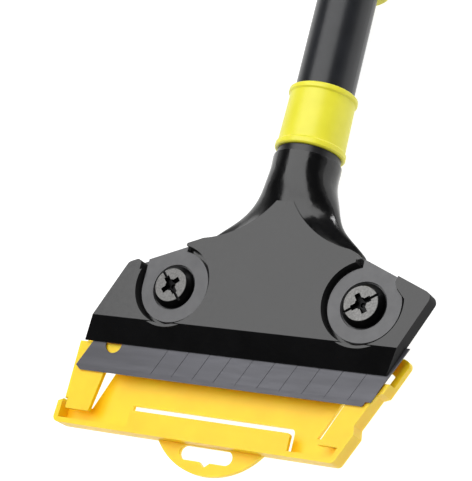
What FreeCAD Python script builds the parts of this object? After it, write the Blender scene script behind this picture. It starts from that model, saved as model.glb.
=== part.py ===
"""Floor scraper with a clamped 100 mm blade, a short cushioned handle and a blade guard.

Frame, in millimetres: +X runs along the blade, +Y runs up the handle, +Z comes out of the
head's flat front face. The origin is the point of that face midway between the two screws.
"""
import FreeCAD, Part
import math
import os

V = FreeCAD.Vector

# Blade: a 100 x 18 x 0.5 mm snap-off blade
BLADE_LENGTH = 100.0
BLADE_WIDTH = 18.0
BLADE_THICKNESS = 0.5
BLADE_LEAN = 0.50            # sideways run of the blade's ends and score lines per mm of width
BLADE_HOLE_R = 2.9
SCORE_PITCH = 7.3
SCORE_COUNT = 10
LAST_SCORE = 6.9             # from the blade's right end to the first score line
EDGE_Y = -28.3               # cutting edge
BLADE_Z = -5.0               # middle of the blade
BLADE_LEFT = -61.8           # left end of the cutting edge
GRIND = 1.7                  # width of the ground edge
FACE_GAP = 0.02              # play between the blade and the faces that clamp it

# Head casting
CASTING_BOTTOM = EDGE_Y + 9.4
BEVEL_TOP = -11.7
BEVEL_DEPTH = 4.2
CASTING_LEFT = -59.9         # left end of the bottom edge
CASTING_WIDTH = 102.1
CASTING_LEAN = 0.45
SHOULDER_X = 24.5            # where the sloping shoulders turn up into the neck
SHOULDER_Y = 15.8
SHOULDER_SLOPE = 0.40
TONGUE_TOP = 29.3            # where the flat front ends in the neck
TONGUE_HALF = 2.8
NECK_START = 28.8            # where the neck rises out of the flat front
RIM_Y = 44.9                 # top rim of the neck
NECK_R = 10.6
STEP_Y = 2.9                 # the clamp plate lies below this step in the casting's back
BACK_Z = -7.4
SCREW_X = 31.7
POCKET_R = 12.7
POCKET_SHIFT = 0.3           # the pockets sit this far right of and above the screws
POCKET_FLOOR = -3.8
COLLAR_R = 13.5

# Clamping parts
PLATE_THICKNESS = 2.5
LUG_R = 11.4
LUG_TOP = -2.0
LUG_LEDGE = -3.0
LUG_HOLE_R = 7.2
WASHER_THICKNESS = 0.5
THREAD_R = 3.0
NUT_FLATS = 10.0
NUT_HEIGHT = 4.2
DOWEL_X = 14.0
DOWEL_Y = -3.0
DOWEL_R = 2.0

# Handle
TUBE_Z = -7.8                # axis of the neck, tube and grip
TUBE_R = 9.2
TAIL_R = 7.0
TUBE_WALL = 1.5
PIN_Y = 40.0                 # roll pin through the neck and the tube
PIN_R = 2.0
TUBE_TAPER = [(28.0, TAIL_R), (38.0, TUBE_R)]
GRIP_BOTTOM = 104.6
GRIP_TOP = GRIP_BOTTOM + 104.0
CAP_TOP = GRIP_TOP + 6.7
TUBE_TOP = GRIP_TOP - 3.0
RIB_WIDTH = 5.0              # yellow ribs that part the two rubber shells

# Blade guard
GUARD_BOTTOM = -45.2
GUARD_TOP = -12.0
GUARD_FLOOR = -10.3
GUARD_SKIN = 1.5
LIP_TOP = -5.6
LIP_THICKNESS = 1.5

SEAT_Z = BLADE_Z + BLADE_THICKNESS / 2 + FACE_GAP
PLATE_FACE = BLADE_Z - BLADE_THICKNESS / 2 - FACE_GAP
PLATE_BACK = PLATE_FACE - PLATE_THICKNESS
SPINE_Y = EDGE_Y + BLADE_WIDTH


def prism(points, low, high):
    """A solid with the given XY outline, between two heights."""
    corners = [V(x, y, low) for x, y in points]
    face = Part.Face(Part.makePolygon(corners + corners[:1]))
    return face.extrude(V(0, 0, high - low))


def bar(points, left, right):
    """A solid with the given YZ section, between two X positions."""
    corners = [V(left, y, z) for y, z in points]
    face = Part.Face(Part.makePolygon(corners + corners[:1]))
    return face.extrude(V(right - left, 0, 0))


def disc(x, y, radius, low, high):
    return Part.makeCylinder(radius, high - low, V(x, y, low), V(0, 0, 1))


def lathe(points):
    """A solid of revolution about the tube's axis, from (y, radius) points."""
    corners = [V(r, y, TUBE_Z) for y, r in points]
    face = Part.Face(Part.makePolygon(corners + corners[:1]))
    return face.revolve(V(0, 0, TUBE_Z), V(0, 1, 0), 360)


def round_uprights(solid, spots, radius):
    """Round the upright edges that stand at the given (x, y) spots."""
    chosen = []
    for edge in solid.Edges:
        a, b = edge.Vertexes[0].Point, edge.Vertexes[-1].Point
        if math.hypot(a.x - b.x, a.y - b.y) > 1e-6:
            continue
        if any(math.hypot(a.x - x, a.y - y) < 0.05 for x, y in spots):
            chosen.append(edge)
    return solid.makeFillet(radius, chosen)


def casting_side(y, inset=0.0):
    """X of the casting's left and right side lines at a height y."""
    run = CASTING_LEAN * (y - CASTING_BOTTOM)
    return CASTING_LEFT + run + inset, CASTING_LEFT + CASTING_WIDTH + run - inset


def shoulder(x):
    return SHOULDER_Y - SHOULDER_SLOPE * (abs(x) - SHOULDER_X)


def wing_tips():
    """The two corners where the side lines meet the shoulders."""
    base = SHOULDER_Y + SHOULDER_SLOPE * SHOULDER_X
    tips = []
    for side, start in ((-1, CASTING_LEFT), (1, CASTING_LEFT + CASTING_WIDTH)):
        x = (start + CASTING_LEAN * (base - CASTING_BOTTOM)) / (1 + side * CASTING_LEAN * SHOULDER_SLOPE)
        tips.append((x, shoulder(x)))
    return tips


def front_outline(low, high):
    """Outline of the flat front: a leaning plate with shoulders and a tongue up the neck."""
    (lx, ly), (rx, ry) = wing_tips()
    x0, x1 = casting_side(CASTING_BOTTOM)
    z = low
    tip = (-TONGUE_HALF, TONGUE_HALF)
    left = Part.Arc(V(tip[0], TONGUE_TOP, z), V(-10.9, 21.1, z), V(-SHOULDER_X, SHOULDER_Y, z)).toShape()
    right = Part.Arc(V(SHOULDER_X, SHOULDER_Y, z), V(10.9, 21.1, z), V(tip[1], TONGUE_TOP, z)).toShape()
    bottom = [V(-SHOULDER_X, SHOULDER_Y, z), V(lx, ly, z), V(x0, CASTING_BOTTOM, z),
              V(x1, CASTING_BOTTOM, z), V(rx, ry, z), V(SHOULDER_X, SHOULDER_Y, z)]
    lines = [Part.makeLine(a, b) for a, b in zip(bottom, bottom[1:])]
    top = Part.makeLine(V(tip[1], TONGUE_TOP, z), V(tip[0], TONGUE_TOP, z))
    wire = Part.Wire(Part.__sortEdges__([left] + lines + [right, top]))
    solid = Part.Face(wire).extrude(V(0, 0, high - low))
    return round_uprights(solid, [(lx, ly), (rx, ry)], 2.2)


def neck_section(y, half):
    """Closed smooth wire at a height y through half a section's (x, z) points and their mirror."""
    mirror = [(-x, z) for x, z in reversed(half[1:-1])]
    curve = Part.BSplineCurve()
    curve.interpolate([V(x, y, z) for x, z in half + mirror], PeriodicFlag=True)
    return Part.Wire(curve.toShape())


def neck_body():
    """The neck: round at the rim, with flanks that slope away from the tongue lower down."""
    turns = [math.radians(30 * k) for k in range(7)]
    waist = [(NECK_R * math.sin(a), TUBE_Z + NECK_R * math.cos(a)) for a in turns]
    sections = (
        (RIM_Y, waist),
        (42.5, waist),
        (40.0, waist),
        (36.8, [(0, 2.4), (5.4, 1.1), (9.6, -2.6), (11.1, -7.9), (9.7, -13.4), (5.5, -17.2), (0, -18.6)]),
        (33.0, [(0, 1.2), (5.6, 0.2), (10.3, -3.1), (12.6, -7.8), (10.8, -13.6), (5.8, -17.2), (0, -18.6)]),
        (28.8, [(0, -0.08), (4.8, -0.9), (10.8, -3.6), (14.6, -7.4), (12.0, -12.6), (6.2, -16.2), (0, -17.6)]),
        (24.0, [(0, -0.5), (7.6, -1.4), (12.8, -3.6), (17.7, -6.4), (14.0, -10.4), (7.2, -13.2), (0, -14.3)]),
        (19.8, [(0, -1.0), (12.8, -1.7), (17.6, -3.8), (22.2, -5.6), (17.2, -8.2), (8.0, -10.2), (0, -10.8)]),
        (16.0, [(0, -1.2), (21.0, -2.2), (24.0, -4.2), (26.6, -5.2), (20.0, -6.8), (10.0, -7.6), (0, -7.8)]),
        (11.0, [(0, -1.5), (22.0, -2.4), (26.0, -4.0), (28.0, -4.8), (20.0, -5.8), (10.0, -6.4), (0, -6.6)]),
    )
    return Part.makeLoft([neck_section(y, half) for y, half in sections], True, False)


def lug_outline(side):
    """Round lug with a tail towards the shoulder."""
    inner, outer = (-30.2, -42.9) if side < 0 else (28.9, 40.2)
    tail = prism([(outer, 1.0), (outer, 20.0), (inner, 20.0), (inner, 6.0)], POCKET_FLOOR, LUG_TOP)
    ring = disc(side * SCREW_X + 0.2, 0.2, LUG_R, POCKET_FLOOR, LUG_TOP)
    return ring.fuse(tail).removeSplitter()


def wing_hook(grow):
    """The right wing's rounded nose, which reaches into the right pocket."""
    outline = [(41.5, 20.0), (41.3, 9.4), (40.7, 7.2), (41.4, 5.6), (46.0, 1.0), (50.0, 1.0), (50.0, 20.0)]
    return prism([(x - grow, y) for x, y in outline], POCKET_FLOOR - 1, 2)


def pocket_mouth(side):
    """X of the inner and outer side of a pocket where it opens to the shoulder."""
    return (-29.8, -44.2) if side < 0 else (27.2, 41.3)


def pocket(side):
    """Room for a lug, open to the front and to the shoulder."""
    inner, outer = pocket_mouth(side)
    mouth = prism([(outer, 4.0), (outer, 20.0), (inner, 20.0), (inner, 9.0)], POCKET_FLOOR, 1)
    ring = disc(side * SCREW_X + POCKET_SHIFT, POCKET_SHIFT, POCKET_R, POCKET_FLOOR, 1)
    room = ring.fuse(mouth).removeSplitter()
    return room.cut(wing_hook(0.0)) if side > 0 else room


def head_casting():
    section = [(CASTING_BOTTOM, SEAT_Z), (CASTING_BOTTOM, -BEVEL_DEPTH), (BEVEL_TOP, 0), (TONGUE_TOP + 1, 0),
               (TONGUE_TOP + 1, BACK_Z), (STEP_Y, BACK_Z), (STEP_Y, PLATE_FACE + 0.07),
               (SPINE_Y + 0.1, PLATE_FACE + 0.07), (SPINE_Y + 0.1, SEAT_Z)]
    plate = bar(section, -80, 80).common(front_outline(BACK_Z - 1, 1))
    thin_wing = Part.makeBox(30, 40, 10, V(44.0, STEP_Y - 1, PLATE_FACE + 0.07 - 10))
    plate = plate.cut(thin_wing)
    plate = plate.cut(pocket(-1)).cut(pocket(1))
    for x, radius in ((pocket_mouth(-1)[1], 1.3), (pocket_mouth(-1)[0], 0.7), (pocket_mouth(1)[0], 0.8)):
        plate = round_uprights(plate, [(x, shoulder(x))], radius)
    barrel = Part.makeCylinder(9.0, 15.5, V(0, 13.0, TUBE_Z), V(0, 1, 0))
    barrel = barrel.common(Part.makeBox(40, 40, 30, V(-20, 0, -33.5)))
    neck = neck_body().fuse(barrel)
    above_face = Part.makeBox(120, 45, 30, V(-60, NECK_START - 45, 0))
    body = plate.fuse(neck.cut(above_face))
    for side in (-1, 1):
        collar = disc(side * SCREW_X + POCKET_SHIFT, POCKET_SHIFT, COLLAR_R, SEAT_Z, -0.15)
        skirt = Part.makeBox(60, 20, 10, V(side * SCREW_X - 30, -20, -8))
        body = body.fuse(collar.common(skirt))
    for side in (-1, 1):
        body = body.cut(pocket(side))
        body = body.cut(disc(side * SCREW_X, 0, THREAD_R + 0.3, -9, 0))
        body = body.cut(disc(side * SCREW_X, 0, 5.6, BACK_Z - 1, PLATE_FACE + 0.07))
        body = body.cut(disc(side * DOWEL_X, DOWEL_Y, DOWEL_R, -9, -2.4))
    body = body.cut(lathe([(14.5, 0), (14.5, TAIL_R)] + TUBE_TAPER + [(60, TUBE_R), (60, 0)]))
    body = body.cut(disc(0, PIN_Y, PIN_R, -25, TUBE_Z + 8.6))
    return body.removeSplitter()


def lug(side):
    body = lug_outline(side)
    if side > 0:
        body = body.cut(wing_hook(0.5))
    edge = prism([(-60, shoulder(-60) - 0.3), (0, shoulder(0) - 0.3), (60, shoulder(60) - 0.3),
                  (60, -20), (-60, -20)], POCKET_FLOOR - 1, LUG_TOP + 1)
    body = body.common(edge)
    body = body.cut(disc(side * SCREW_X, 0, LUG_HOLE_R, LUG_LEDGE, LUG_TOP + 1))
    return body.cut(disc(side * SCREW_X, 0, THREAD_R + 0.4, POCKET_FLOOR - 1, LUG_TOP + 1))


def spring_washer(side):
    ring = disc(side * SCREW_X, 0, 6.2, LUG_LEDGE, LUG_LEDGE + WASHER_THICKNESS)
    ring = ring.cut(disc(side * SCREW_X, 0, THREAD_R + 0.35, LUG_LEDGE - 1, 0))
    split = Part.makeBox(8, 0.8, 4, V(side * SCREW_X + 1, -0.4, LUG_LEDGE - 1))
    return ring.cut(split)


def clamp_screw(side, turn):
    """Pan-head screw with a full-width slot crossed by a Phillips recess, turned by an angle."""
    under = LUG_LEDGE + WASHER_THICKNESS
    profile = [V(0, 0, -14.8), V(2.2, 0, -14.8), V(THREAD_R, 0, -14.0), V(THREAD_R, 0, -6.1),
               V(2.5, 0, -6.1), V(2.5, 0, -5.24), V(THREAD_R, 0, -5.24), V(THREAD_R, 0, under),
               V(6.75, 0, under), V(6.75, 0, -1.9), V(6.4, 0, -1.2), V(5.2, 0, 0.1), V(0, 0, 0.1)]
    screw = Part.Face(Part.makePolygon(profile + profile[:1])).revolve(V(0, 0, 0), V(0, 0, 1), 360)
    slot = Part.makeBox(16, 0.8, 3, V(-8, -0.4, -0.6))
    cross = Part.makeBox(6.4, 1.7, 3, V(-3.2, -0.85, -1.7))
    tool = slot.fuse(cross).fuse(cross.rotated(V(0, 0, 0), V(0, 0, 1), 90))
    tool = tool.fuse(Part.makeCone(0.4, 1.9, 2.6, V(0, 0, -2.3), V(0, 0, 1)))
    screw = screw.cut(tool)
    screw.rotate(V(0, 0, 0), V(0, 0, 1), turn)
    return screw.translated(V(side * SCREW_X, 0, 0))


def screw_clip(side):
    """Open retaining ring in the screw's groove, which keeps the screw in the casting."""
    ring = disc(side * SCREW_X, 0, 4.8, -6.05, -5.29).cut(disc(side * SCREW_X, 0, 2.5, -7, -5))
    mouth = Part.makeBox(6, 3.6, 2, V(side * SCREW_X, -1.8, -7))
    return ring.cut(mouth)


def clamp_plate():
    low, high = CASTING_BOTTOM + 0.6, STEP_Y - 0.3
    l0, r0 = casting_side(low, 2.0)
    l1, r1 = casting_side(high, 2.0)
    body = prism([(l0, low), (r0, low), (r1, high), (l1, high)], PLATE_BACK, PLATE_FACE)
    body = round_uprights(body, [(l0, low), (r0, low), (r1, high), (l1, high)], 1.5)
    for side in (-1, 1):
        body = body.cut(disc(side * SCREW_X, 0, THREAD_R + 0.3, -9, -4))
        body = body.cut(disc(side * SCREW_X, 0, 5.6, PLATE_FACE - 1.1, -4))
        body = body.cut(disc(side * DOWEL_X, DOWEL_Y, DOWEL_R + 0.06, -9, -4))
    return body


def clamp_nuts():
    """Two hexagonal weld nuts on the back of the clamp plate."""
    nuts = []
    for side in (-1, 1):
        radius = NUT_FLATS / math.sqrt(3)
        corners = [(side * SCREW_X + radius * math.cos(math.radians(60 * k)),
                    radius * math.sin(math.radians(60 * k))) for k in range(6)]
        nut = prism(corners, PLATE_BACK - NUT_HEIGHT, PLATE_BACK)
        nuts.append(nut.cut(disc(side * SCREW_X, 0, THREAD_R + 0.05, -20, 0)))
    return Part.makeCompound(nuts)


def dowels():
    pins = [disc(side * DOWEL_X, DOWEL_Y, DOWEL_R, -10.5, -2.4) for side in (-1, 1)]
    return Part.makeCompound(pins)


def blade_end(y):
    run = BLADE_LEAN * (y - EDGE_Y)
    return BLADE_LEFT + run, BLADE_LEFT + BLADE_LENGTH + run


def blade():
    low, high = BLADE_Z - BLADE_THICKNESS / 2, BLADE_Z + BLADE_THICKNESS / 2
    section = [(EDGE_Y, BLADE_Z), (EDGE_Y + GRIND, high), (SPINE_Y, high), (SPINE_Y, low),
               (EDGE_Y + GRIND, low)]
    (l0, r0), (l1, r1) = blade_end(EDGE_Y), blade_end(SPINE_Y)
    outline = [(l0 + 2.4, EDGE_Y), (r0 - 1.6, EDGE_Y), (r0 - 0.7, EDGE_Y + 1.4), (r0 + 0.7, EDGE_Y + 1.4),
               (r1, SPINE_Y), (l1, SPINE_Y), (l0 + 0.7, EDGE_Y + 1.4)]
    body = bar(section, -80, 80).common(prism(outline, low - 1, high + 1))
    body = body.cut(disc(BLADE_LEFT + 12.4, EDGE_Y + 9.2, BLADE_HOLE_R, low - 1, high + 1))
    for k in range(SCORE_COUNT):
        x = blade_end(EDGE_Y)[1] - LAST_SCORE - k * SCORE_PITCH
        x_top = x + BLADE_LEAN * BLADE_WIDTH
        groove = prism([(x, EDGE_Y), (x + 0.3, EDGE_Y), (x_top + 0.3, SPINE_Y), (x_top, SPINE_Y)],
                       high - 0.12, high + 1)
        body = body.cut(groove)
    return body


def handle_tube():
    bore = [(y, r - TUBE_WALL) for y, r in reversed(TUBE_TAPER)]
    body = lathe([(15.0, TAIL_R - TUBE_WALL), (15.0, TAIL_R)] + TUBE_TAPER
                 + [(TUBE_TOP, TUBE_R), (TUBE_TOP, TUBE_R - TUBE_WALL)] + bore)
    return body.cut(disc(0, PIN_Y, PIN_R, -25, 5))


def roll_pin():
    """Split spring pin, driven in from the back of the neck through both walls of the tube."""
    pin = disc(0, PIN_Y, PIN_R, TUBE_Z - 10.2, TUBE_Z + 8.4).cut(disc(0, PIN_Y, 1.2, -25, 5))
    return pin.cut(Part.makeBox(4, 0.6, 30, V(0, PIN_Y - 0.3, -25)))


def neck_ring():
    return lathe([(RIM_Y, TUBE_R), (RIM_Y, 9.9), (47.3, 9.9), (47.3, TUBE_R)])


def ferrule():
    return lathe([(47.3, TUBE_R), (47.3, 10.5), (47.7, 11.0), (49.2, 11.0), (49.6, 10.5), (65.5, 10.25),
                  (65.9, 10.8), (67.2, 10.8), (67.6, 10.3), (67.6, TUBE_R)])


def grip_profile():
    """(y, radius) points up the outside of the two rubber shells."""
    lower = [(GRIP_BOTTOM + 4.6, 12.2)]
    for k in range(4):
        y = GRIP_BOTTOM + 7.5 + 3.2 * k
        crest = 12.4 + 0.2 * k
        lower += [(y, crest), (y + 0.3, crest - 0.5), (y + 0.9, crest - 0.5), (y + 1.2, crest)]
    belly = ((25, 13.8), (35, 14.5), (47, 15.0), (62, 15.0), (75, 14.6), (87, 13.9), (97, 13.3), (104, 13.0))
    return lower + [(GRIP_BOTTOM + rise, radius) for rise, radius in belly]


def grip_core():
    sleeve = lathe([(GRIP_BOTTOM, TUBE_R), (GRIP_BOTTOM, 12.3), (GRIP_BOTTOM + 0.5, 12.8),
                    (GRIP_BOTTOM + 4.1, 12.8), (GRIP_BOTTOM + 4.6, 12.6), (GRIP_BOTTOM + 4.6, 11.0),
                    (GRIP_TOP, 11.0), (GRIP_TOP, TUBE_R)])
    flanks = lathe([(GRIP_BOTTOM + 4.6, 10.5)] + grip_profile() + [(GRIP_TOP, 10.5)])
    slab = Part.makeBox(60, 120, RIB_WIDTH, V(-30, GRIP_BOTTOM + 4.6, TUBE_Z - RIB_WIDTH / 2))
    return sleeve.fuse(flanks.common(slab)).removeSplitter()


def grip_shell(front):
    shell = lathe([(GRIP_BOTTOM + 4.6, 11.0)] + grip_profile() + [(GRIP_TOP, 11.0)])
    low = TUBE_Z + RIB_WIDTH / 2 if front else TUBE_Z - RIB_WIDTH / 2 - 40
    return shell.common(Part.makeBox(60, 120, 40, V(-30, GRIP_BOTTOM, low)))


def end_cap():
    shelf = GRIP_TOP + 1.2
    return lathe([(GRIP_TOP, 8.0), (GRIP_TOP, 13.0), (CAP_TOP - 4.1, 13.0), (CAP_TOP - 2.1, 12.2),
                  (CAP_TOP - 0.7, 10.6), (CAP_TOP, 8.0), (CAP_TOP, 3.6), (CAP_TOP - 3.1, 3.6),
                  (CAP_TOP - 3.1, 1.9), (shelf, 1.9), (shelf, 8.0)])


def tube_plug():
    inner = TUBE_R - TUBE_WALL
    return lathe([(TUBE_TOP - 16, 1.3), (TUBE_TOP - 16, inner), (TUBE_TOP, inner), (TUBE_TOP, TUBE_R),
                  (TUBE_TOP + 2.6, TUBE_R), (TUBE_TOP + 2.6, 7.9), (TUBE_TOP + 4.0, 7.9),
                  (TUBE_TOP + 4.0, 1.3)])


def cap_screw():
    seat = CAP_TOP - 3.1
    body = lathe([(TUBE_TOP - 14, 0), (TUBE_TOP - 12, 1.3), (TUBE_TOP + 4, 1.3), (seat, 1.7),
                  (seat + 0.05, 3.3), (seat + 1.6, 2.8), (seat + 2.0, 0)])
    for angle in (0, 90):
        slot = Part.makeBox(4.0, 1.6, 0.8, V(-2.0, seat + 1.4, TUBE_Z - 0.4))
        slot.rotate(V(0, 0, TUBE_Z), V(0, 1, 0), angle)
        body = body.cut(slot)
    return body


def guard_floor_windows():
    """Openings in the guard's floor behind its three lips."""
    low, high = -20, -8
    left = prism([(-60.3, -38.8), (-54.6, -38.8), (-47.0, -21.0), (-60.3, -21.0)], low, high)
    right = prism([(22.7, -38.0), (29.0, -38.0), (40.6, -20.6), (42.4, -17.6), (40.8, -16.4), (33.0, -16.4)],
                  low, high)
    middle = prism([(-40.2, GUARD_BOTTOM + 1.6), (15.4, GUARD_BOTTOM + 1.6), (15.4, -36.1), (-40.2, -36.1)],
                   low, high)
    middle = round_uprights(middle, [(15.4, -36.1)], 1.6)
    return left.fuse(right).fuse(middle)


def blade_guard():
    """Shallow tray with a bottom wall, two side walls, three lips and a hanging tab."""
    base = GUARD_FLOOR - GUARD_SKIN
    outline = [(-64.9, GUARD_BOTTOM), (31.2, GUARD_BOTTOM), (35.6, -36.4), (35.2, -33.8), (39.8, -24.6),
               (41.8, -23.8), (46.8, -13.4), (44.0, GUARD_TOP), (-60.0, GUARD_TOP), (-62.3, -16.0),
               (-62.3, -37.6), (-64.6, -38.6)]
    inside = [(-63.1, GUARD_BOTTOM + 1.6), (30.2, GUARD_BOTTOM + 1.6), (33.8, -36.6), (33.4, -33.6),
              (38.2, -24.2), (40.0, -23.2), (45.0, -13.2), (45.0, GUARD_TOP + 6), (-60.5, GUARD_TOP + 6),
              (-60.5, -36.6), (-63.1, -38.0)]
    tray = prism(outline, base, LIP_TOP)
    tray = round_uprights(tray, [(-64.9, GUARD_BOTTOM), (31.2, GUARD_BOTTOM), (46.8, -13.4)], 1.8)
    tray = tray.cut(prism(inside, GUARD_FLOOR, LIP_TOP + 5))
    for x, y in ((-90, -19.0), (30, -20.9)):
        tray = tray.cut(Part.makeBox(60, 30, 10, V(x, y, GUARD_FLOOR + 1.0)))
    left_lip = prism([(-61.4, -40.6), (-52.9, -40.6), (-50.7, -27.0), (-46.2, -26.0), (-46.2, -19.0),
                      (-61.4, -19.0)], LIP_TOP - LIP_THICKNESS, LIP_TOP)
    right_lip = prism([(25.5, -40.6), (32.5, -40.6), (34.6, -34.0), (42.4, -20.9), (34.4, -20.9)],
                      LIP_TOP - LIP_THICKNESS, LIP_TOP)
    middle_lip = prism([(-38.0, GUARD_BOTTOM + 0.5), (16.4, GUARD_BOTTOM + 0.5), (16.4, -38.5),
                        (-38.0, -38.5)], LIP_TOP - LIP_THICKNESS, LIP_TOP)
    middle_lip = round_uprights(middle_lip, [(16.4, -38.5)], 0.8)
    tray = tray.fuse(left_lip).fuse(right_lip).fuse(middle_lip).cut(guard_floor_windows())
    tab = disc(-11.0, -31.2, 22.6, base, GUARD_FLOOR)
    tab = tab.common(Part.makeBox(60, 12, 10, V(-42, GUARD_BOTTOM - 11.8, -16)))
    slot = Part.makeBox(13.6, 4.4, 10, V(-18.4, GUARD_BOTTOM - 4.6, -16))
    for x in (-18.4, -4.8):
        slot = slot.fuse(disc(x, GUARD_BOTTOM - 2.4, 2.2, -16, -6))
    slot = slot.fuse(prism([(-13.9, -49.2), (-11.4, -51.4), (-8.9, -49.2)], -16, -6))
    return tray.fuse(tab.cut(slot)).removeSplitter()


def main():
    parts = {
        "head_casting": head_casting(),
        "clamp_plate": clamp_plate(),
        "clamp_nuts": clamp_nuts(),
        "blade": blade(),
        "lug_left": lug(-1),
        "lug_right": lug(1),
        "spring_washers": Part.makeCompound([spring_washer(-1), spring_washer(1)]),
        "clamp_screw_left": clamp_screw(-1, -48.0),
        "clamp_screw_right": clamp_screw(1, 34.0),
        "screw_clip_left": screw_clip(-1),
        "screw_clip_right": screw_clip(1),
        "dowels": dowels(),
        "handle_tube": handle_tube(),
        "roll_pin": roll_pin(),
        "neck_ring": neck_ring(),
        "ferrule": ferrule(),
        "grip_core": grip_core(),
        "grip_front_shell": grip_shell(True),
        "grip_rear_shell": grip_shell(False),
        "end_cap": end_cap(),
        "tube_plug": tube_plug(),
        "cap_screw": cap_screw(),
        "blade_guard": blade_guard(),
    }
    os.makedirs("parts", exist_ok=True)
    for node, shape in parts.items():
        shape.exportStep("parts/" + node + ".step")


main()
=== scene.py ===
"""Looks of the floor scraper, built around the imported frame. Everything is in metres."""

import bpy
from mathutils import Matrix, Vector


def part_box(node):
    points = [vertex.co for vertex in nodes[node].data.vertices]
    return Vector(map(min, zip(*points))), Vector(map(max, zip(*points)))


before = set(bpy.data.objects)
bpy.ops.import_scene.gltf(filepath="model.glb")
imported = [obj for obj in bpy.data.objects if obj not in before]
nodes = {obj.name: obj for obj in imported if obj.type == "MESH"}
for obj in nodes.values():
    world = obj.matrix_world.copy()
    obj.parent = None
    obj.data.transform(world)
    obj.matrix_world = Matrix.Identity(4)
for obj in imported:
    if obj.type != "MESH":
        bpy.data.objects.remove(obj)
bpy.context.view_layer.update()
MM = 0.001


# ---------------------------------------------------------------- materials

BROAD_SHARE = 0.12              # scale of the tone's noise, as a share of the grain's
YELLOW_REACH = (1.0, 0.7, 0.08) # how far red, green and blue light travel in yellow plastic
SHADE_FADE_BAND = 0.12 * MM           # height over which the screws' grey metal takes over from the painted shade below
SHADE_TOP_HEIGHT = 0.04 * MM         # the screws are grey metal above this and painted near-black below it, as shade in their slots and holes
UPRIGHT_SLOPES = (0.2, 0.4)     # fully upright below the first, not upright above the second
UPRIGHT_ROUGHNESS = 0.85
SHOULDER_HEIGHT = 13 * MM       # the casting's plate lies below this, its neck above


def new_material(name):
    mat = bpy.data.materials.new(name)
    mat.use_nodes = True
    tree = mat.node_tree
    return mat, tree, tree.nodes["Principled BSDF"]


def noise(tree, scale, detail=3.0, stretch=(1, 1, 1)):
    """Noise in the object's own metres, optionally stretched along the axes."""
    place = tree.nodes.new("ShaderNodeTexCoord")
    mapping = tree.nodes.new("ShaderNodeMapping")
    mapping.inputs["Scale"].default_value = stretch
    tex = tree.nodes.new("ShaderNodeTexNoise")
    tex.inputs["Scale"].default_value = scale
    tex.inputs["Detail"].default_value = detail
    tree.links.new(place.outputs["Object"], mapping.inputs["Vector"])
    tree.links.new(mapping.outputs["Vector"], tex.inputs["Vector"])
    return tex.outputs["Fac"]


def spread(tree, value, low, high):
    """Map a 0..1 noise value onto low..high."""
    remap = tree.nodes.new("ShaderNodeMapRange")
    remap.inputs["From Min"].default_value = 0.3
    remap.inputs["From Max"].default_value = 0.7
    remap.inputs["To Min"].default_value = low
    remap.inputs["To Max"].default_value = high
    tree.links.new(value, remap.inputs["Value"])
    return remap.outputs["Result"]


def tint(tree, value, dark, light):
    """Colour between two tones, driven by a noise value."""
    mix = tree.nodes.new("ShaderNodeMix")
    mix.data_type = "RGBA"
    mix.inputs["A"].default_value = (*dark, 1)
    mix.inputs["B"].default_value = (*light, 1)
    tree.links.new(spread(tree, value, 0.0, 1.0), mix.inputs["Factor"])
    return mix.outputs["Result"]


def bump(tree, shader, value, distance):
    """A fine relief of the given depth, in metres."""
    node = tree.nodes.new("ShaderNodeBump")
    node.inputs["Strength"].default_value = 1.0
    node.inputs["Distance"].default_value = distance
    tree.links.new(value, node.inputs["Height"])
    tree.links.new(node.outputs["Normal"], shader.inputs["Normal"])


def surface(name, dark, light, rough, grain=900.0, stretch=(1, 1, 1), depth=0.0, metallic=0.0,
            ior=1.5, scatter=0.0, reach=0.002):
    """A procedural surface: two close tones, varied roughness and a fine bump."""
    mat, tree, shader = new_material(name)
    broad = noise(tree, grain * BROAD_SHARE, 2.0, stretch)
    fine = noise(tree, grain, 4.0, stretch)
    tree.links.new(tint(tree, broad, dark, light), shader.inputs["Base Color"])
    tree.links.new(spread(tree, fine, rough[0], rough[1]), shader.inputs["Roughness"])
    shader.inputs["Metallic"].default_value = metallic
    shader.inputs["IOR"].default_value = ior
    if scatter:
        shader.inputs["Subsurface Weight"].default_value = scatter
        shader.inputs["Subsurface Radius"].default_value = YELLOW_REACH
        shader.inputs["Subsurface Scale"].default_value = reach
    if depth:
        bump(tree, shader, fine, depth)
    return mat


def painted_shade_below(name, height):
    """Screw steel painted near-black below a height as shade, with grey metal on the faces above it."""
    mat = surface(name, (0.006, 0.006, 0.0065), (0.012, 0.012, 0.012), (0.34, 0.46), 2600, depth=0.00001,
                  metallic=1.0)
    tree = mat.node_tree
    shader = tree.nodes["Principled BSDF"]
    place = tree.nodes.new("ShaderNodeTexCoord")
    split = tree.nodes.new("ShaderNodeSeparateXYZ")
    tree.links.new(place.outputs["Object"], split.inputs["Vector"])
    above = tree.nodes.new("ShaderNodeMapRange")
    above.inputs["From Min"].default_value = height - SHADE_FADE_BAND
    above.inputs["From Max"].default_value = height
    tree.links.new(split.outputs["Z"], above.inputs["Value"])
    # the near-black tone is painted shade in the screws' slots and holes; the grey mixed in above the height
    # is the screws' own metal
    shaded_tone = shader.inputs["Base Color"].links[0].from_socket
    top_grey = tint(tree, noise(tree, 1800, 3.0), (0.092, 0.091, 0.089), (0.150, 0.148, 0.145))
    mix = tree.nodes.new("ShaderNodeMix")
    mix.data_type = "RGBA"
    tree.links.new(above.outputs["Result"], mix.inputs["Factor"])
    tree.links.new(shaded_tone, mix.inputs["A"])
    tree.links.new(top_grey, mix.inputs["B"])
    tree.links.new(mix.outputs["Result"], shader.inputs["Base Color"])
    return mat


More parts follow.
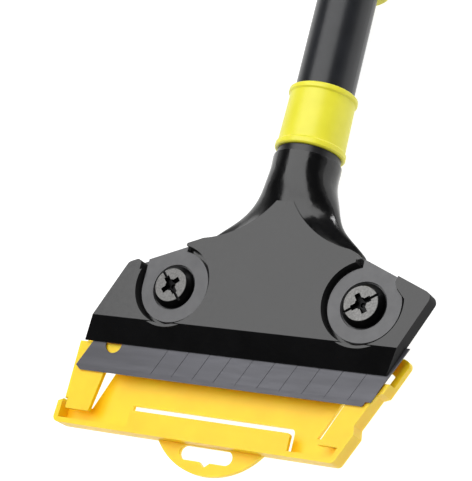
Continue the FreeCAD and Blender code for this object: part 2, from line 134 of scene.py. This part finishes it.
def dull_uprights(mat, shoulder):
    """Roughen every upright side below a height along the object, left and right alike."""
    tree = mat.node_tree
    rough = tree.nodes["Principled BSDF"].inputs["Roughness"]
    place = tree.nodes.new("ShaderNodeTexCoord")
    facing = tree.nodes.new("ShaderNodeSeparateXYZ")
    spot = tree.nodes.new("ShaderNodeSeparateXYZ")
    tree.links.new(place.outputs["Normal"], facing.inputs["Vector"])
    tree.links.new(place.outputs["Object"], spot.inputs["Vector"])
    level = tree.nodes.new("ShaderNodeMath")
    level.operation = "ABSOLUTE"
    tree.links.new(facing.outputs["Z"], level.inputs[0])
    upright = tree.nodes.new("ShaderNodeMapRange")
    upright.inputs["From Min"].default_value = UPRIGHT_SLOPES[1]
    upright.inputs["From Max"].default_value = UPRIGHT_SLOPES[0]
    tree.links.new(level.outputs["Value"], upright.inputs["Value"])
    below = tree.nodes.new("ShaderNodeMath")
    below.operation = "LESS_THAN"
    below.inputs[1].default_value = shoulder
    tree.links.new(spot.outputs["Y"], below.inputs[0])
    both = tree.nodes.new("ShaderNodeMath")
    both.operation = "MULTIPLY"
    tree.links.new(upright.outputs["Result"], both.inputs[0])
    tree.links.new(below.outputs["Value"], both.inputs[1])
    mix = tree.nodes.new("ShaderNodeMix")
    mix.inputs["B"].default_value = UPRIGHT_ROUGHNESS
    tree.links.new(both.outputs["Value"], mix.inputs["Factor"])
    tree.links.new(rough.links[0].from_socket, mix.inputs["A"])
    tree.links.new(mix.outputs["Result"], rough)


BLACK_PAINT = surface("gloss black paint", (0.002, 0.002, 0.0022), (0.004, 0.004, 0.0044), (0.14, 0.20),
                      700, depth=0.000006)
dull_uprights(BLACK_PAINT, SHOULDER_HEIGHT)
BLACK_PLATE = surface("satin black paint", (0.01, 0.01, 0.011), (0.02, 0.02, 0.02), (0.35, 0.5), 900,
                      depth=0.00002)
LUG = surface("satin grey lug", (0.076, 0.076, 0.080), (0.094, 0.094, 0.098), (0.38, 0.46), 2500,
              depth=0.000006)
BLADE_STEEL = surface("ground blade steel", (0.068, 0.068, 0.076), (0.090, 0.090, 0.101), (0.38, 0.5),
                      1600, (0.08, 1, 1), depth=0.000003, metallic=0.6)
SCREW_STEEL = painted_shade_below("screw steel with painted shade", SHADE_TOP_HEIGHT)
DARK_WASHER = surface("blackened washer", (0.010, 0.010, 0.011), (0.02, 0.02, 0.021), (0.4, 0.5), 2000,
                      depth=0.00001, metallic=1.0)
ZINC = surface("zinc plate", (0.5, 0.5, 0.5), (0.66, 0.66, 0.64), (0.25, 0.4), 1500, depth=0.00001,
               metallic=1.0)
TUBE_PAINT = surface("satin dark tube", (0.008, 0.009, 0.011), (0.012, 0.013, 0.016), (0.28, 0.34), 1200,
                     depth=0.000006, ior=1.46)
RING_PLASTIC = surface("dark ring plastic", (0.006, 0.006, 0.007), (0.010, 0.010, 0.011), (0.3, 0.4), 1500,
                       depth=0.00001)
LEMON = surface("lemon plastic", (0.73, 0.68, 0.030), (0.79, 0.74, 0.042), (0.34, 0.42), 1200, depth=0.000008,
                scatter=0.1)
RUBBER = surface("black rubber", (0.010, 0.010, 0.010), (0.018, 0.018, 0.018), (0.55, 0.7), 2200,
                 depth=0.00006)
GUARD = surface("guard plastic", (0.92, 0.585, 0.006), (0.96, 0.625, 0.010), (0.34, 0.42), 1000,
                depth=0.000004, ior=1.42, scatter=0.6, reach=0.004)

FINISHES = {
    "head_casting": BLACK_PAINT, "clamp_plate": BLACK_PLATE, "clamp_nuts": ZINC, "blade": BLADE_STEEL,
    "lug_left": LUG, "lug_right": LUG, "spring_washers": DARK_WASHER, "clamp_screw_left": SCREW_STEEL,
    "clamp_screw_right": SCREW_STEEL, "screw_clip_left": ZINC, "screw_clip_right": ZINC, "dowels": ZINC,
    "handle_tube": TUBE_PAINT, "roll_pin": ZINC, "neck_ring": RING_PLASTIC, "ferrule": LEMON,
    "grip_core": LEMON, "grip_front_shell": RUBBER, "grip_rear_shell": RUBBER, "end_cap": LEMON,
    "tube_plug": RING_PLASTIC, "cap_screw": ZINC, "blade_guard": GUARD,
}
for node, material in FINISHES.items():
    nodes[node].data.materials.clear()
    nodes[node].data.materials.append(material)


# ---------------------------------------------------------------- edges

SOFT_EDGES = {                  # width of the softened edge, in millimetres
    "head_casting": 0.25, "blade_guard": 0.30, "lug_left": 0.18, "lug_right": 0.18, "clamp_plate": 0.30,
    "clamp_nuts": 0.25, "clamp_screw_left": 0.10, "clamp_screw_right": 0.10, "ferrule": 0.15,
    "neck_ring": 0.15, "end_cap": 0.2, "grip_core": 0.2,
}
EDGE_ANGLE = 0.6                # radians; gentler edges stay as they are
for node, width in SOFT_EDGES.items():
    weld = nodes[node].modifiers.new("weld", "WELD")
    weld.merge_threshold = 0.001 * MM
    soften = nodes[node].modifiers.new("soft edges", "BEVEL")
    soften.width = width * MM
    soften.segments = 2
    soften.limit_method = "ANGLE"
    soften.angle_limit = EDGE_ANGLE
    soften.use_clamp_overlap = True
    level = nodes[node].modifiers.new("level shading", "WEIGHTED_NORMAL")
    level.weight = 80
    level.keep_sharp = True


# ---------------------------------------------------------------- stage, light and camera

CENTRE = Vector((0.0, 0.0, 0.0))
KEY_PLACE = Vector((-0.12, 0.16, 0.98))
KEY_SIZE = (1.3, 1.25)
KEY_POWER = 16.4
RIM_PLACE = 0.9 * Vector((0.36, 0.88, 0.31))
RIM_SIZE = (0.2, 0.2)
RIM_POWER = 1.5
FLOOR_HALF = 12.0
FLOOR_LIGHT = 0.96
FADE_HEIGHTS = (0.10, 0.45)     # the studio fades from its horizon light to its zenith light
HORIZON_LIGHT = 0.45
ZENITH_LIGHT = 0.05
CAMERA_PLACE = (0.2256, -0.1184, 0.3933)
CAMERA_AIM = (-0.0132, 0.0157, 0.0)
CAMERA_UP = (-0.0685, 0.9308, 0.3590)
CAMERA_LENS = 120.25


def look_at(obj, place, aim, up):
    back = (Vector(place) - Vector(aim)).normalized()
    right = Vector(up).cross(back).normalized()
    turn = Matrix((right, back.cross(right), back)).transposed().to_4x4()
    obj.matrix_world = Matrix.Translation(Vector(place)) @ turn


def softbox(name, place, width, height, power):
    lamp = bpy.data.lights.new(name, "AREA")
    lamp.shape = "RECTANGLE"
    lamp.size, lamp.size_y = width, height
    lamp.energy = power
    obj = bpy.data.objects.new(name, lamp)
    bpy.context.scene.collection.objects.link(obj)
    look_at(obj, place, CENTRE, (0, 1, 0.01))


def build_floor():
    """A plain floor with light of its own, so that it stays white without shadows."""
    low = min(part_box(n)[0].z for n in nodes)
    half = FLOOR_HALF
    corners = [(-half, -half, low), (half, -half, low), (half, half, low), (-half, half, low)]
    mesh = bpy.data.meshes.new("floor")
    mesh.from_pydata(corners, [], [(0, 1, 2, 3)])
    floor = bpy.data.objects.new("floor", mesh)
    bpy.context.scene.collection.objects.link(floor)
    mat = surface("pale floor", (0.26, 0.26, 0.26), (0.28, 0.28, 0.28), (0.8, 0.9), 40)
    shader = mat.node_tree.nodes["Principled BSDF"]
    shader.inputs["Emission Color"].default_value = (1, 1, 1, 1)
    shader.inputs["Emission Strength"].default_value = FLOOR_LIGHT
    mesh.materials.append(mat)


def build_world():
    """A studio that is bright near the horizon and dark overhead."""
    world = bpy.data.worlds.new("studio")
    bpy.context.scene.world = world
    world.use_nodes = True
    tree = world.node_tree
    sky = tree.nodes["Background"]
    place = tree.nodes.new("ShaderNodeTexCoord")
    split = tree.nodes.new("ShaderNodeSeparateXYZ")
    fade = tree.nodes.new("ShaderNodeMapRange")
    fade.interpolation_type = "SMOOTHSTEP"
    fade.inputs["From Min"].default_value = FADE_HEIGHTS[0]
    fade.inputs["From Max"].default_value = FADE_HEIGHTS[1]
    fade.inputs["To Min"].default_value = HORIZON_LIGHT
    fade.inputs["To Max"].default_value = ZENITH_LIGHT
    tree.links.new(place.outputs["Generated"], split.inputs["Vector"])
    tree.links.new(split.outputs["Z"], fade.inputs["Value"])
    tree.links.new(fade.outputs["Result"], sky.inputs["Strength"])
    sky.inputs["Color"].default_value = (1, 1, 1, 1)


build_floor()
build_world()
softbox("key", KEY_PLACE, *KEY_SIZE, KEY_POWER)
softbox("rim", RIM_PLACE, *RIM_SIZE, RIM_POWER)

camera = bpy.data.objects.new("camera", bpy.data.cameras.new("camera"))
bpy.context.scene.collection.objects.link(camera)
camera.data.lens = CAMERA_LENS
camera.data.clip_start = 0.01
look_at(camera, CAMERA_PLACE, CAMERA_AIM, CAMERA_UP)
bpy.context.scene.camera = camera
bpy.context.scene.view_settings.view_transform = "Standard"
